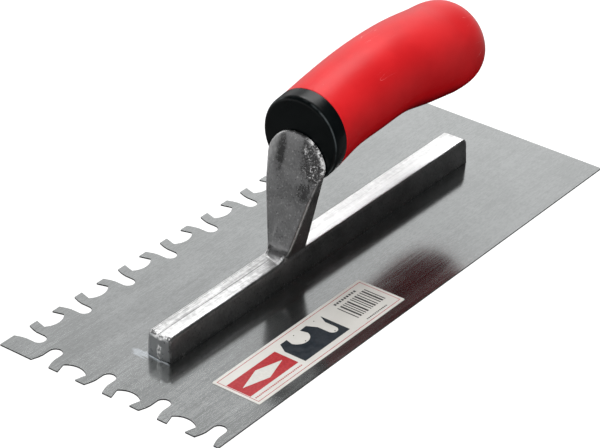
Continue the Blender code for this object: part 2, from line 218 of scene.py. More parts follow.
def make_object(name, bm, materials, smooth_angle=None):
    """Turn a bmesh into a scene object with outward faces."""
    bmesh.ops.recalc_face_normals(bm, faces=bm.faces)
    mesh = bpy.data.meshes.new(name)
    bm.to_mesh(mesh)
    bm.free()
    for material in materials:
        mesh.materials.append(material)
    if smooth_angle is not None:
        mesh.shade_smooth()
        mesh.set_sharp_from_angle(angle=math.radians(smooth_angle))
    obj = bpy.data.objects.new(name, mesh)
    bpy.context.scene.collection.objects.link(obj)
    return obj


def attach(piece, slot, *nodes):
    """Put a finished piece on the trowel's one body, in place of the named CAD nodes."""
    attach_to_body(piece, "root")
    if nodes:
        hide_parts(*nodes)


def apply_modifiers(obj):
    """Replace an object's mesh by its evaluated one."""
    graph = bpy.context.evaluated_depsgraph_get()
    mesh = bpy.data.meshes.new_from_object(obj.evaluated_get(graph))
    obj.modifiers.clear()
    obj.data = mesh


def cut_away(obj, bm):
    """Subtract a closed bmesh from an object."""
    cutter = make_object("cutter", bm, [])
    modifier = obj.modifiers.new("cut", "BOOLEAN")
    modifier.operation = "DIFFERENCE"
    modifier.solver = "EXACT"
    modifier.object = cutter
    apply_modifiers(obj)
    bpy.data.objects.remove(cutter)


def skin_rings(bm, rings):
    """Join closed rings of equal point count into a tube with flat ends."""
    rows = [[bm.verts.new(point) for point in ring] for ring in rings]
    for row, following in zip(rows, rows[1:]):
        for i in range(len(row)):
            j = (i + 1) % len(row)
            bm.faces.new((row[i], row[j], following[j], following[i]))
    bm.faces.new(rows[0])
    bm.faces.new(rows[-1])


def prism(bm, outline, z_low, z_high):
    """Add a closed outline of (x, y) points extruded straight up."""
    skin_rings(bm, [[(x, y, z) for x, y in outline] for z in (z_low, z_high)])


def arc(centre_x, centre_y, radius, start, end, steps):
    """Points round a circle from one angle to another, in degrees."""
    points = []
    for k in range(steps + 1):
        angle = math.radians(start + (end - start) * k / steps)
        points.append((centre_x + radius * math.cos(angle), centre_y + radius * math.sin(angle)))
    return points


def turned(bm, x, profile, sides):
    """Add a solid turned about an upright axis on the blade's middle line."""
    rings = []
    for radius, z in profile:
        rings.append([(x + px, py, z) for px, py in arc(0, 0, radius, 0, 360, sides)[:-1]])
    skin_rings(bm, rings)


def round_corners(outline, radius, steps=3):
    """Replace each sharp corner of a closed outline by a small curve."""
    rounded = []
    for i, corner in enumerate(outline):
        here = Vector(corner)
        back = Vector(outline[i - 1]) - here
        ahead = Vector(outline[(i + 1) % len(outline)]) - here
        turn = math.pi - back.angle(ahead)
        if turn < math.radians(25):
            rounded.append(tuple(here))
            continue
        reach = min(radius * math.tan(turn / 2), back.length * 0.4, ahead.length * 0.4)
        start, end = here + back.normalized() * reach, here + ahead.normalized() * reach
        for k in range(steps + 1):
            t = k / steps
            point = start * (1 - t) ** 2 + here * (2 * t * (1 - t)) + end * t ** 2
            rounded.append(tuple(point))
    return rounded


def smoothstep(value, low, high):
    """0 below low, 1 above high, and an even S-curve between them."""
    t = min(max((value - low) / (high - low), 0.0), 1.0)
    return t * t * (3.0 - 2.0 * t)


def blend_between(low, high, share):
    return low + (high - low) * share


# ---------------------------------------------------------------- material helpers

def plug(tree, sockets, values):
    """Link each socket to a node's output, or set it where its value is plain."""
    for socket, value in zip(sockets, values):
        if isinstance(value, bpy.types.NodeSocket):
            tree.links.new(value, socket)
        else:
            socket.default_value = value


def math_node(tree, operation, a, b=0.0):
    """The result of one sum on values or sockets."""
    node = tree.nodes.new("ShaderNodeMath")
    node.operation = operation
    plug(tree, node.inputs, (a, b))
    return node.outputs["Value"]


def remap_node(tree, value, from_low, from_high, to_low, to_high):
    """Map one range of values smoothly on to another, and hold the ends beyond it."""
    node = tree.nodes.new("ShaderNodeMapRange")
    node.interpolation_type = "SMOOTHSTEP"
    plug(tree, node.inputs, (value, from_low, from_high, to_low, to_high))
    return node.outputs["Result"]


class Surface:
    """A Principled material, with short calls for the nodes that feed it."""

    def __init__(self, name, colour, roughness, metallic=0.0, **sockets):
        self.material = bpy.data.materials.new(name)
        self.material.use_nodes = True
        self.tree = self.material.node_tree
        self.shader = self.tree.nodes["Principled BSDF"]
        self.shader.inputs["Base Color"].default_value = (*colour, 1.0)
        self.shader.inputs["Roughness"].default_value = roughness
        self.shader.inputs["Metallic"].default_value = metallic
        for socket, value in sockets.items():
            self.shader.inputs[socket.replace("_", " ")].default_value = value
        self.place = self.tree.nodes.new("ShaderNodeTexCoord").outputs["Object"]

    def wire(self, node, **inputs):
        """Set or link a node's inputs by name."""
        plug(self.tree, [node.inputs[name.replace("_", " ")] for name in inputs], inputs.values())

    def stretched(self, x, y, z):
        """Coordinates scaled by axis, so that a texture runs along the smallest scale."""
        node = self.tree.nodes.new("ShaderNodeMapping")
        self.wire(node, Vector=self.place, Scale=(x, y, z))
        return node.outputs["Vector"]

    def noise(self, scale, detail=2.0, roughness=0.5, vector=None, distortion=0.0):
        node = self.tree.nodes.new("ShaderNodeTexNoise")
        self.wire(node, Vector=vector or self.place, Scale=scale, Detail=detail, Roughness=roughness,
                  Distortion=distortion)
        return node.outputs["Fac"]

    def cells(self, scale):
        """Distance to the nearest of many scattered points."""
        node = self.tree.nodes.new("ShaderNodeTexVoronoi")
        self.wire(node, Vector=self.place, Scale=scale)
        return node.outputs["Distance"]

    def remap(self, value, from_low, from_high, to_low=0.0, to_high=1.0):
        return remap_node(self.tree, value, from_low, from_high, to_low, to_high)

    def math(self, operation, a, b=0.0):
        return math_node(self.tree, operation, a, b)

    def times(self, first, *others):
        """The product of any number of values."""
        for other in others:
            first = self.math("MULTIPLY", first, other)
        return first

    def axis(self, name):
        """One coordinate of the place on the object."""
        node = self.tree.nodes.new("ShaderNodeSeparateXYZ")
        self.wire(node, Vector=self.place)
        return node.outputs[name]

    def facing(self, name):
        """One component of the surface's normal, from -1 to 1."""
        geometry = self.tree.nodes.new("ShaderNodeNewGeometry")
        node = self.tree.nodes.new("ShaderNodeSeparateXYZ")
        self.wire(node, Vector=geometry.outputs["Normal"])
        return node.outputs[name]

    def spot(self, centre, reach):
        """1 at a place on the trowel, fading to 0 at the reach away from it along each axis."""
        node = self.tree.nodes.new("ShaderNodeMapping")
        shift = tuple(-c / r for c, r in zip(centre, reach))
        self.wire(node, Vector=self.place, Scale=tuple(1 / r for r in reach), Location=shift)
        ball = self.tree.nodes.new("ShaderNodeTexGradient")
        ball.gradient_type = "SPHERICAL"
        self.wire(ball, Vector=node.outputs["Vector"])
        return ball.outputs["Fac"]

    def ragged(self, centre, reach, texture, amount=6.0):
        """A spot with an outline broken up by a texture: 1 inside, 0 outside."""
        uneven = self.math("ADD", self.times(self.math("SUBTRACT", texture, 0.5), amount), 1.0)
        return self.remap(self.times(self.spot(centre, reach), uneven), 0.10, 0.65)

    def mix(self, factor, low, high):
        """Colour low where factor is 0 and high where it is 1."""
        node = self.tree.nodes.new("ShaderNodeMix")
        node.data_type = "RGBA"
        ends = [(*end, 1.0) if isinstance(end, tuple) else end for end in (low, high)]
        plug(self.tree, (node.inputs[0], node.inputs[6], node.inputs[7]), (factor, *ends))
        return node.outputs[2]

    def colour(self, value):
        self.tree.links.new(value, self.shader.inputs["Base Color"])

    def roughness(self, value):
        self.tree.links.new(value, self.shader.inputs["Roughness"])

    def feed(self, name, value):
        """Drive any other input of the shader."""
        self.tree.links.new(value, self.shader.inputs[name])

    def bumps(self, *layers):
        """Stack bump layers, each given as (height, depth in metres)."""
        normal = None
        for height, depth in layers:
            node = self.tree.nodes.new("ShaderNodeBump")
            self.wire(node, Height=height, Distance=depth, Strength=1.0)
            if normal is not None:
                self.wire(node, Normal=normal)
            normal = node.outputs["Normal"]
        self.tree.links.new(normal, self.shader.inputs["Normal"])


def grey(value):
    return (value, value, value)


# ---------------------------------------------------------------- materials

def blade_steel():
    """Cold-rolled sheet: fine lines along its length, blotches, and a rubbed place by the bar's toe end."""
    s = Surface("brushed_blade_steel", grey(0.56), 0.22, 1.0)
    lines = s.noise(1.0, 2.0, 0.5, s.stretched(30, 900, 200))
    nicks = s.noise(1.0, 2.0, 0.6, s.stretched(420, 1700, 200))
    broad = s.noise(1.0, 2.0, 0.5, s.stretched(10, 120, 80))
    blotches = s.noise(240, 3.0, 0.6)
    clouds = s.noise(30, 3.0, 0.5)
    tone = s.times(lines, 0.20)
    for texture, share in ((clouds, 0.25), (blotches, 0.15), (nicks, 0.40)):
        tone = s.math("ADD", tone, s.times(texture, share))
    clean = s.mix(s.remap(tone, 0.40, 0.60), (0.490, 0.505, 0.503), (0.580, 0.596, 0.596))
    smear = s.noise(1.0, 3.0, 0.6, s.stretched(900, 160, 200))
    rubbed = s.ragged(*RUBBED_PLACE, smear, 5.0)
    seam = s.ragged(*SEAM_PLACE, smear)
    s.colour(s.mix(s.math("MAXIMUM", rubbed, seam), clean, (0.80, 0.84, 0.88)))
    s.roughness(s.remap(s.math("ADD", lines, broad), 0.7, 1.3, 0.13, 0.17))
    s.bumps((lines, 0.0000008), (nicks, 0.0000008))
    return s.material


def cut_steel():
    """The blade's sheared edges: darker and rougher than its faces."""
    s = Surface("sheared_steel_edge", grey(0.06), 0.42, 1.0)
    streaks = s.noise(1.0, 3.0, 0.6, s.stretched(2500, 2500, 400))
    s.colour(s.mix(s.remap(streaks, 0.35, 0.65), grey(0.025), grey(0.10)))
    s.roughness(s.remap(streaks, 0.3, 0.7, 0.36, 0.55))
    s.bumps((streaks, 0.00003))
    return s.material


def cast_stains(s, fine):
    """Dark stains on the dome, on the post and at its foot."""
    upper = s.math("MAXIMUM", s.ragged(*DOME_STAIN, fine), s.ragged(*POST_STAIN, fine, TATTERED))
    return s.math("MAXIMUM", upper, s.ragged(*FOOT_STAIN, fine))


def torn_flecks_and_rim_highlight(s, rough, fine):
    """Bright flecks of torn skin in the rough place on the dome, painted partly as highlight, and a painted
    highlight along the rim on the same side.
    """
    flecks = s.times(rough, s.remap(s.noise(230, 5.0, 0.75, distortion=1.5), 0.53, 0.60))
    rim_highlight = s.times(
        s.remap(s.spot(*DOME_DISC), 0.03, 0.15, 1.0, 0.0),
        s.remap(s.axis("Y"), 0.003, 0.008),
        s.remap(s.axis("Z"), DOME_CENTRE_Z - 0.003, DOME_CENTRE_Z + 0.001),
        s.remap(fine, 0.44, 0.54),
    )
    return s.math("MAXIMUM", s.times(flecks, 0.8), rim_highlight)


def painted_toe_highlights(s, toe_end, fine, skin):
    """Painted highlights on the bar's toe end: along its parting line and the brow above."""
    parting = s.ragged(*PARTING_PLACE, fine, TATTERED)
    brow = s.ragged(*BROW_PLACE, fine, TATTERED)
    return s.times(toe_end, s.math("MAXIMUM", parting, brow), s.remap(skin, 0.38, 0.58))


def corner_highlights(s, coarse):
    """Painted highlights along the casting's forward corners, broken up by a texture."""
    forward = s.times(s.remap(s.facing("X"), 0.30, 0.55), s.remap(s.facing("X"), 0.93, 0.82))
    sideways = s.remap(s.math("ABSOLUTE", s.facing("Y")), 0.30, 0.50)
    return s.times(forward, sideways, s.remap(coarse, 0.35, 0.55))


def lit_bar_top(s, flow, draw, coarse):
    """Painted light on the bar's top: two uneven halves, with painted shade along a crease between them on
    the toe side, brightest behind the post.
    """
    across, along = s.axis("Y"), s.axis("X")
    wander = s.times(s.math("SUBTRACT", flow, 0.5), 0.002)
    plain_half = s.remap(s.math("ADD", across, wander), -0.0008, 0.0002)
    grain = s.remap(s.math("ADD", draw, coarse), 0.75, 1.25)
    toe_part = s.mix(plain_half, s.mix(grain, grey(0.32), grey(0.60)), s.mix(grain, grey(0.42), grey(0.70)))
    heel_part = s.mix(plain_half, s.mix(grain, grey(0.70), grey(0.90)), s.mix(grain, grey(0.88), grey(1.0)))
    wear_and_painted_light = s.mix(s.remap(along, 0.010, 0.024), heel_part, toe_part)
    off_crease = s.math("ABSOLUTE", s.math("SUBTRACT", across, CREASE_Y))
    # Painted shade: a dark line along the crease
    crease_shade = s.remap(off_crease, 0.00010, 0.00045, 0.75, 0.0)
    return s.mix(s.times(crease_shade, s.remap(along, 0.030, 0.040)), wear_and_painted_light, grey(0.10))


def cast_aluminium():
    """Die-cast skin: dull and pitted, stained and rough round the dome, with painted light on the bar's top
    and painted highlights on its edges, toe end and dome rim.
    """
    s = Surface("die_cast_aluminium", grey(0.60), 0.36, 1.0)
    flow = s.noise(110, 4.0, 0.55)
    skin = s.noise(1100, 3.0, 0.6)
    coarse = s.noise(420, 4.0, 0.65)
    streaks = s.noise(1.0, 3.0, 0.6, s.stretched(300, 420, 60))
    draw = s.noise(1.0, 3.0, 0.6, s.stretched(40, 1300, 1300))
    pits = s.remap(s.cells(520), 0.05, 0.20)
    tone = s.math("ADD", s.times(flow, 0.5), s.times(skin, 0.5))
    fine = s.times(s.math("ADD", coarse, skin), 0.5)

    toe_end = s.remap(s.axis("X"), BAR_HIGH_X - 0.0030, BAR_HIGH_X - 0.0022)
    rough = s.ragged(*TORN_PLACE, fine, TATTERED)
    flecks_and_rim_highlight = torn_flecks_and_rim_highlight(s, rough, fine)
    toe_highlight = painted_toe_highlights(s, toe_end, fine, skin)
    # Masks for painted highlights on the ridges at the post's foot
    ridge_highlights = [s.ragged((RIDGE_X, side, RIDGE_Z), RIDGE_REACH, fine, 7.0) for side in RIDGE_SIDES]
    # Each mark's share and its colour, later ones over earlier ones
    marks = (
        (s.remap(coarse, 0.60, 0.72), grey(0.50)),
        # Painted highlight: the toe end's forward-facing face is painted near white
        (s.times(toe_end, s.remap(s.facing("X"), 0.5, 0.9)), (0.97, 0.99, 1.0)),
        (s.times(cast_stains(s, fine), 0.85), grey(0.07)),
        (s.times(rough, 0.70), grey(0.14)),
        # Torn-skin flecks, partly painted highlight, and the painted rim highlight
        (flecks_and_rim_highlight, grey(0.90)),
        (s.times(s.ragged(*SHINE_PLACE, streaks), 0.6), grey(0.70)),
        (s.times(s.remap(skin, 0.62, 0.70), s.remap(s.axis("Z"), 0.012, 0.020)), grey(0.78)),
        # Painted highlights along the forward corners
        (corner_highlights(s, coarse), grey(0.85)),
        # Painted highlights on the ridges at the post's foot
        *((ridge_highlight, grey(1.0)) for ridge_highlight in ridge_highlights),
        # Painted highlights on the toe end's parting line and brow
        (toe_highlight, grey(0.90)),
        # Painted glints: bright specks near the bar's base
        (s.times(s.remap(s.axis("Z"), 0.0012, 0.0030, 1.0, 0.0), s.remap(skin, 0.56, 0.66)), grey(0.80)),
    )
    dull = s.mix(s.remap(tone, 0.34, 0.66), (0.30, 0.30, 0.305), (0.47, 0.47, 0.475))
    for share, colour in marks:
        dull = s.mix(share, dull, colour)
    dull = s.mix(pits, (0.16, 0.16, 0.165), dull)

    # Surfaces facing up take the painted light of the bar's top
    clean = s.mix(s.remap(s.facing("Z"), 0.90, 0.975), dull, lit_bar_top(s, flow, draw, coarse))
    # Painted highlight along the top's edge on the notched side
    edge_highlight = s.times(
        s.remap(s.facing("Y"), -0.75, -0.45),
        s.remap(s.facing("Y"), -0.20, -0.35),
        s.remap(s.axis("Z"), 0.0105, 0.0115),
    )
    s.colour(s.mix(edge_highlight, clean, grey(0.95)))
    # The flecks and painted highlights lose their metal, so their painted brightness shows
    s.feed("Metallic", s.remap(s.math("MAXIMUM", flecks_and_rim_highlight, toe_highlight), 0.0, 1.0, 1.0, 0.1))
    s.roughness(s.remap(tone, 0.3, 0.7, 0.34, 0.48))
    s.bumps((flow, 0.00010), (skin, 0.00003), (pits, 0.00003), (draw, 0.00001),
            (s.times(rough, coarse), 0.00045))
    return s.material


def rivet_steel():
    """Bright rivet steel with a fine, uneven grain."""
    s = Surface("rivet_steel", grey(0.55), 0.32, 1.0)
    grain = s.noise(1400, 3.0, 0.6)
    s.colour(s.mix(s.remap(grain, 0.3, 0.7), grey(0.42), grey(0.62)))
    s.roughness(s.remap(grain, 0.3, 0.7, 0.26, 0.42))
    s.bumps((grain, 0.00002))
    return s.material


def core_plastic():
    """Black glass-filled plastic, satin, with a fine moulded grain and a painted highlight along its front
    edge.
    """
    s = Surface("black_core_plastic", (0.003, 0.004, 0.004), 0.33, Specular_IOR_Level=0.22)
    grain = s.noise(2600, 3.0, 0.6)
    handling = s.noise(90, 4.0, 0.6)
    clean = s.mix(s.remap(handling, 0.35, 0.7), (0.0010, 0.0022, 0.0024), (0.0030, 0.0045, 0.0048))
    # Painted highlight along the collar's rounded front edge, broken up by a texture
    edge = s.times(s.remap(s.facing("X"), 0.50, 0.62), s.remap(s.facing("X"), 0.80, 0.70))
    s.colour(s.mix(s.times(edge, s.remap(handling, 0.40, 0.60)), clean, (0.055, 0.065, 0.068)))
    s.roughness(s.remap(handling, 0.3, 0.7, 0.27, 0.40))
    s.bumps((grain, 0.000012), (handling, 0.00005))
    return s.material


def grip_rubber():
    """Red soft-touch moulding: fine grain, faint scuffs, hair scratches, slightly uneven pigment and painted
    shade underneath.
    """
    s = Surface("red_grip_rubber", (0.64, 0.014, 0.018), 0.42, Sheen_Roughness=0.35)
    grain = s.noise(2200, 3.0, 0.6)
    clouds = s.noise(45, 3.0, 0.55)
    scuffs = s.remap(s.noise(1.0, 4.0, 0.7, s.stretched(60, 420, 420)), 0.64, 0.78)
    scratch = s.noise(1.0, 2.0, 0.5, s.stretched(22, 160, 160), distortion=0.8)
    scratch = s.remap(s.math("ABSOLUTE", s.math("SUBTRACT", scratch, 0.5)), 0.0008, 0.0030, 1.0, 0.0)
    scratch = s.times(scratch, s.remap(s.noise(40, 2.0), 0.58, 0.66))
    clean = s.mix(s.remap(clouds, 0.3, 0.7), (0.640, 0.009, 0.013), (0.730, 0.015, 0.019))
    # Painted shade: surfaces facing down are darkened
    base = s.mix(s.remap(s.facing("Z"), -0.75, -0.35), (0.160, 0.005, 0.008), clean)
    wear_and_painted_light = s.mix(s.times(scuffs, 0.18), base, (0.80, 0.16, 0.16))
    s.colour(s.mix(s.times(scratch, 0.55), wear_and_painted_light, (0.85, 0.34, 0.34)))
    s.roughness(s.remap(s.math("ADD", clouds, scuffs), 0.3, 1.2, 0.42, 0.58))
    s.feed("Specular IOR Level", s.remap(s.facing("Z"), -0.3, 0.6, 0.0, 0.26))
    s.feed("Sheen Weight", s.remap(s.facing("Z"), -0.1, 0.5, 0.0, 0.30))
    s.bumps((grain, 0.000014), (clouds, 0.00010))
    return s.material


def label_paper():
    """Coated white label stock with a faint warm mottle."""
    s = Surface("label_paper", (0.78, 0.76, 0.71), 0.36)
    fibres = s.noise(700, 4.0, 0.6)
    age = s.noise(60, 3.0, 0.5)
    s.colour(s.mix(s.remap(age, 0.3, 0.7), *PAPER_COLOURS))
    s.roughness(s.remap(fibres, 0.3, 0.7, 0.32, 0.46))
    s.bumps((fibres, 0.000006))
    return s.material


def label_ink(name, dark, light):
    """Printed ink, slightly uneven where the paper's tooth shows through."""
    s = Surface(name, dark, 0.34, Specular_IOR_Level=0.3)
    s.colour(s.mix(s.remap(s.noise(900, 3.0, 0.6), 0.35, 0.72), dark, light))
    s.roughness(s.remap(s.noise(400, 2.0), 0.3, 0.7, 0.28, 0.42))
    return s.material


def floor_paint():
    """Evenly lit pale floor that throws back less light than it shows, so undersides stay dark."""
    s = Surface("pale_floor", grey(0.30), 0.8, Specular_IOR_Level=0.0)
    seen = s.tree.nodes.new("ShaderNodeLightPath").outputs["Is Camera Ray"]
    s.colour(s.mix(seen, grey(0.16), s.mix(s.noise(6, 3.0), grey(0.29), grey(0.31))))
    s.wire(s.shader, Emission_Color=WHITE, Emission_Strength=s.times(seen, FLOOR_GLOW))
    return s.material


# ---------------------------------------------------------------- blade

def slot_points():
    """Narrow notch as (offset along the edge, depth from the edge)."""
    bottom = arc(0.0, SLOT_DEPTH - SLOT_HALF_WIDTH, SLOT_HALF_WIDTH, 180, 0, SLOT_STEPS)
    shoulder_half, shoulder_depth = SLOT_SHOULDER
    left = [(-SLOT_MOUTH_HALF, 0.0), (-shoulder_half, shoulder_depth), (-SLOT_HALF_WIDTH, SLOT_FLARE_DEPTH)]
    right = [(-offset, depth) for offset, depth in reversed(left)]
    return left + bottom + right


def scoop_points():
    """Wide undercut notch as (offset along the edge, depth from the edge)."""
    rise = SCOOP_DEPTH - SCOOP_CORNER_DEPTH
    radius = (SCOOP_INNER_HALF ** 2 + rise ** 2) / (2 * rise)
    half_angle = math.degrees(math.asin(SCOOP_INNER_HALF / radius))
    bottom = arc(0.0, SCOOP_DEPTH - radius, radius, 90 + half_angle, 90 - half_angle, SCOOP_STEPS)
    return [(-SCOOP_MOUTH_HALF, 0.0), *bottom, (SCOOP_MOUTH_HALF, 0.0)]


def notched_edge(first, pitch, slots):
    """Notches along one edge as (distance, depth): slots with a scoop between each pair."""
    points = []
    for k in range(slots):
        centre = first + k * pitch
        points += [(centre + offset, depth) for offset, depth in slot_points()]
        if k < slots - 1:
            points += [(centre + pitch / 2 + offset, depth) for offset, depth in scoop_points()]
    return points


def blade_outline():
    toe_x, heel_x = BLADE_HIGH.x, BLADE_LOW.x
    notched_y, plain_y = BLADE_LOW.y, BLADE_HIGH.y
    outline = [(toe_x, notched_y)]
    for distance, depth in notched_edge(TOE_FIRST, TOE_PITCH, TOE_SLOTS):
        outline.append((toe_x - depth, notched_y + distance))
    outline += [(toe_x, plain_y), (heel_x, plain_y), (heel_x, notched_y)]
    for distance, depth in reversed(notched_edge(LONG_FIRST, LONG_PITCH, LONG_SLOTS)):
        outline.append((toe_x - distance, notched_y + depth))
    return outline


def rivet_boxes():
    return [(name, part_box(name)) for name in sorted(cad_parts) if name.startswith("rivet_")]


def build_blade():
    """Blade with lightly broken edges; its sheared walls get their own material."""
    bm = bmesh.new()
    prism(bm, round_corners(blade_outline(), BLADE_CORNER_RADIUS), BLADE_LOW.z, BLADE_HIGH.z)
    blade = make_object("blade_sheet", bm, [blade_steel(), cut_steel()])
    holes = bmesh.new()
    for _, (low, high) in rivet_boxes():
        radius = (high.y - low.y) / 2 + FIT / 2
        turned(holes, (low.x + high.x) / 2, ((radius, -HOLE_REACH), (radius, HOLE_REACH)), ROUND_SIDES)
    cut_away(blade, holes)
    for face in blade.data.polygons:
        if abs(face.normal.z) < 0.5:
            face.material_index = 1
    bevel = blade.modifiers.new("broken_edges", "BEVEL")
    bevel.width = BLADE_BURR_RADIUS
    bevel.segments = 2
    bevel.limit_method = "ANGLE"
    bevel.angle_limit = math.radians(60)
    apply_modifiers(blade)
    attach(blade, "blade_steel", "blade")


# ---------------------------------------------------------------- mounting

def rounded_drop(distance, radius):
    """How far a rounded end has fallen away at a distance from its tip."""
    if distance >= radius:
        return 0.0
    return radius - math.sqrt(radius ** 2 - (radius - distance) ** 2)


def bar_ring(x, end_drop, side_drop):
    """Section of the bar: tapered sides and rounded top edges."""
    share = (x - BAR_LOW_X) / (BAR_HIGH_X - BAR_LOW_X)
    base = BAR_BASE_HALF - side_drop
    top = blend_between(BAR_TOP_HALF_HEEL, BAR_TOP_HALF_TOE, share) - side_drop
    high = blend_between(BAR_TOP_HEEL_Z, BAR_TOP_TOE_Z, share) - end_drop
    radius = blend_between(BAR_EDGE_HEEL, BAR_EDGE_TOE, share) + BAR_END_ROUNDING * end_drop
    right = [(base, BLADE_HIGH.z), *arc(top - radius, high - radius, radius, 0, 90, 6)]
    left = [(-y, z) for y, z in reversed(right)]
    return [(x, y, z) for y, z in right + left]


def add_bar(bm):
    """Bar with a round-topped heel end and an eased toe end."""
    rings = []
    angles = [math.radians(10 * k) for k in range(10)]
    for angle in angles:
        distance = BAR_HEEL_RADIUS * (1 - math.cos(angle))
        drop = rounded_drop(distance, BAR_HEEL_RADIUS)
        rings.append(bar_ring(BAR_LOW_X + distance, drop, BAR_END_TAPER * drop))
    for angle in reversed(angles):
        distance = BAR_TOE_RADIUS * (1 - math.cos(angle))
        drop = BAR_TOE_DROP * rounded_drop(distance, BAR_TOE_RADIUS)
        rings.append(bar_ring(BAR_HIGH_X - distance, drop, BAR_END_TAPER * drop))
    skin_rings(bm, rings)


def post_half_width(z):
    """A straight flare from the bar's width up to the round dome."""
    flare = POST_FOOT_HALF + POST_FLARE * (z - POST_SPREAD_Z)
    if z < DOME_CENTRE_Z:
        return flare
    return min(flare, math.sqrt(max(DOME_RADIUS ** 2 - (z - DOME_CENTRE_Z) ** 2, 0.0)))


def post_edge_depth(z):
    """Front-to-back depth of the post at its side edges."""
    depth = POST_FOOT_DEPTH - POST_LEAN * (z - POST_SPREAD_Z)
    depth -= POST_THINNING * max(z - POST_THINNING_Z, 0.0) ** 2
    beyond = math.hypot(depth - DOME_RIM, DOME_EASE)
    return (depth + DOME_RIM + beyond) / 2


def post_fillet(z):
    """How far the hollow fillet at the foot stands out in front of the post at height z."""
    below = min(max(POST_SPREAD_Z + POST_FILLET - z, 0.0), POST_FILLET)
    return POST_FILLET - math.sqrt(POST_FILLET ** 2 - below ** 2)


def post_ring(z):
    """Horizontal section: flat at the back, gently crowned at the front, rounded corners."""
    half = post_half_width(z)
    edge = post_edge_depth(z)
    front = POST_REAR_X + edge
    run_out = post_fillet(z)
    crown = DOME_CROWN * smoothstep(z, *DOME_CROWN_Z) * (half / DOME_RADIUS) ** DOME_CROWN_POWER
    rear = min(POST_REAR_RADIUS, 0.4 * edge, 0.3 * half)
    nose = min(POST_FRONT_RADIUS, 0.5 * edge, 0.3 * half)
    face = []
    for k in range(1, POST_FACE_STEPS):
        across = 1 - 2 * k / POST_FACE_STEPS
        face.append((front + crown * (1 - across ** 2), (half - nose) * across))
    front_points = [
        *arc(front - nose, half - nose, nose, 90, 0, 5),
        *face,
        *arc(front - nose, nose - half, nose, 0, -90, 5),
    ]
    outline = [
        *arc(POST_REAR_X + rear, rear - half, rear, 270, 180, 4),
        *arc(POST_REAR_X + rear, half - rear, rear, 180, 90, 4),
        *((x + run_out * (1 + POST_FILLET_SKEW * y / half), y) for x, y in front_points),
    ]
    return [(x, y, z) for x, y in outline]


def add_post(bm):
    """Post and dome, in rings that close up towards the dome's top."""
    heights = [POST_FOOT_Z + POST_RING_STEP * k for k in range(POST_RINGS)]
    heights += [DOME_CENTRE_Z + DOME_RADIUS * math.sin(math.radians(a)) for a in range(3, 85, 4)]
    skin_rings(bm, [post_ring(z) for z in heights])


def add_tang(bm, extra=0.0, start_extra=0.0, end_extra=0.0):
    """Tapered tang, grown by extra all round and at its two ends."""
    axis = (TANG_TIP - TANG_ROOT).normalized()
    across = Vector((0.0, 1.0, 0.0))
    up = axis.cross(across).normalized()
    start = TANG_ROOT - axis * start_extra
    end = TANG_TIP + axis * end_extra
    stages = (
        (start, TANG_ROOT_RADIUS),
        (end - axis * TANG_TIP_LENGTH, TANG_TIP_RADIUS),
        (end, TANG_TIP_RADIUS - TANG_TIP_EASE),
    )
    rings = []
    for centre, radius in stages:
        section = arc(0, 0, radius + extra, 0, 360, ROUND_SIDES)[:-1]
        rings.append([centre + across * a + up * b for a, b in section])
    skin_rings(bm, rings)


def casting_relief(point, normal):
    """How far the die-cast skin stands off its smooth shape, in metres."""
    relief = WAVE_DEPTH * noise.fractal(point * WAVE_SCALE, 1.0, 2.0, 3)
    relief += GRAIN_DEPTH * noise.noise(point * GRAIN_SCALE)
    toe_end = smoothstep(point.x, BAR_HIGH_X - 0.0032, BAR_HIGH_X - 0.0020)
    relief += LUMP_DEPTH * toe_end * smoothstep(point.z, *LUMP_Z) * noise.noise(point * LUMP_SCALE)
    if toe_end > 0 and normal.x > 0.2:
        across = point.y / BAR_TOP_HALF_TOE
        parting = math.exp(-((point.y - PARTING_Y) / PARTING_WIDTH) ** 2)
        relief += toe_end * (PARTING_HEIGHT * parting - TOE_FACE_BULGE * across ** 2)
    return relief


def sharpen_base(bm):
    """Give the bar back the crisp lower edges that the weld rounded off."""
    for vert in bm.verts:
        if vert.co.z < BLADE_HIGH.z + CAST_VOXEL * 0.7:
            vert.co.z = BLADE_HIGH.z
            if abs(vert.co.y) > BAR_BASE_HALF - CAST_VOXEL:
                vert.co.y = math.copysign(BAR_BASE_HALF, vert.co.y)


def build_mounting():
    """Bar, post and tang welded into one skin, with the unevenness of a die casting."""
    bm = bmesh.new()
    add_bar(bm)
    mounting = make_object("cast_mounting", bm, [])
    holes = bmesh.new()
    for _, (low, high) in rivet_boxes():
        shank = (high.y - low.y) / 3
        profile = ((shank + FIT, -HOLE_REACH), (shank + FIT, high.z + FIT))
        turned(holes, (low.x + high.x) / 2, profile, 32)
    cut_away(mounting, holes)
    bm = bmesh.new()
    bm.from_mesh(mounting.data)
    add_post(bm)
    add_tang(bm)
    bmesh.ops.recalc_face_normals(bm, faces=bm.faces)
    bm.to_mesh(mounting.data)
    bm.free()
    weld = mounting.modifiers.new("weld", "REMESH")
    weld.mode = "VOXEL"
    weld.voxel_size = CAST_VOXEL
    apply_modifiers(mounting)
    bm = bmesh.new()
    bm.from_mesh(mounting.data)
    for _ in range(CAST_SMOOTHING):
        bmesh.ops.smooth_vert(bm, verts=bm.verts, factor=0.5, use_axis_x=True, use_axis_y=True,
                              use_axis_z=True)
    bm.normal_update()
    shifts = [vert.normal * casting_relief(vert.co, vert.normal) for vert in bm.verts]
    for vert, shift in zip(bm.verts, shifts):
        vert.co += shift
    sharpen_base(bm)
    bm.to_mesh(mounting.data)
    bm.free()
    mounting.data.materials.append(cast_aluminium())
    mounting.data.shade_smooth()
    attach(mounting, "cast_aluminium", "mounting")


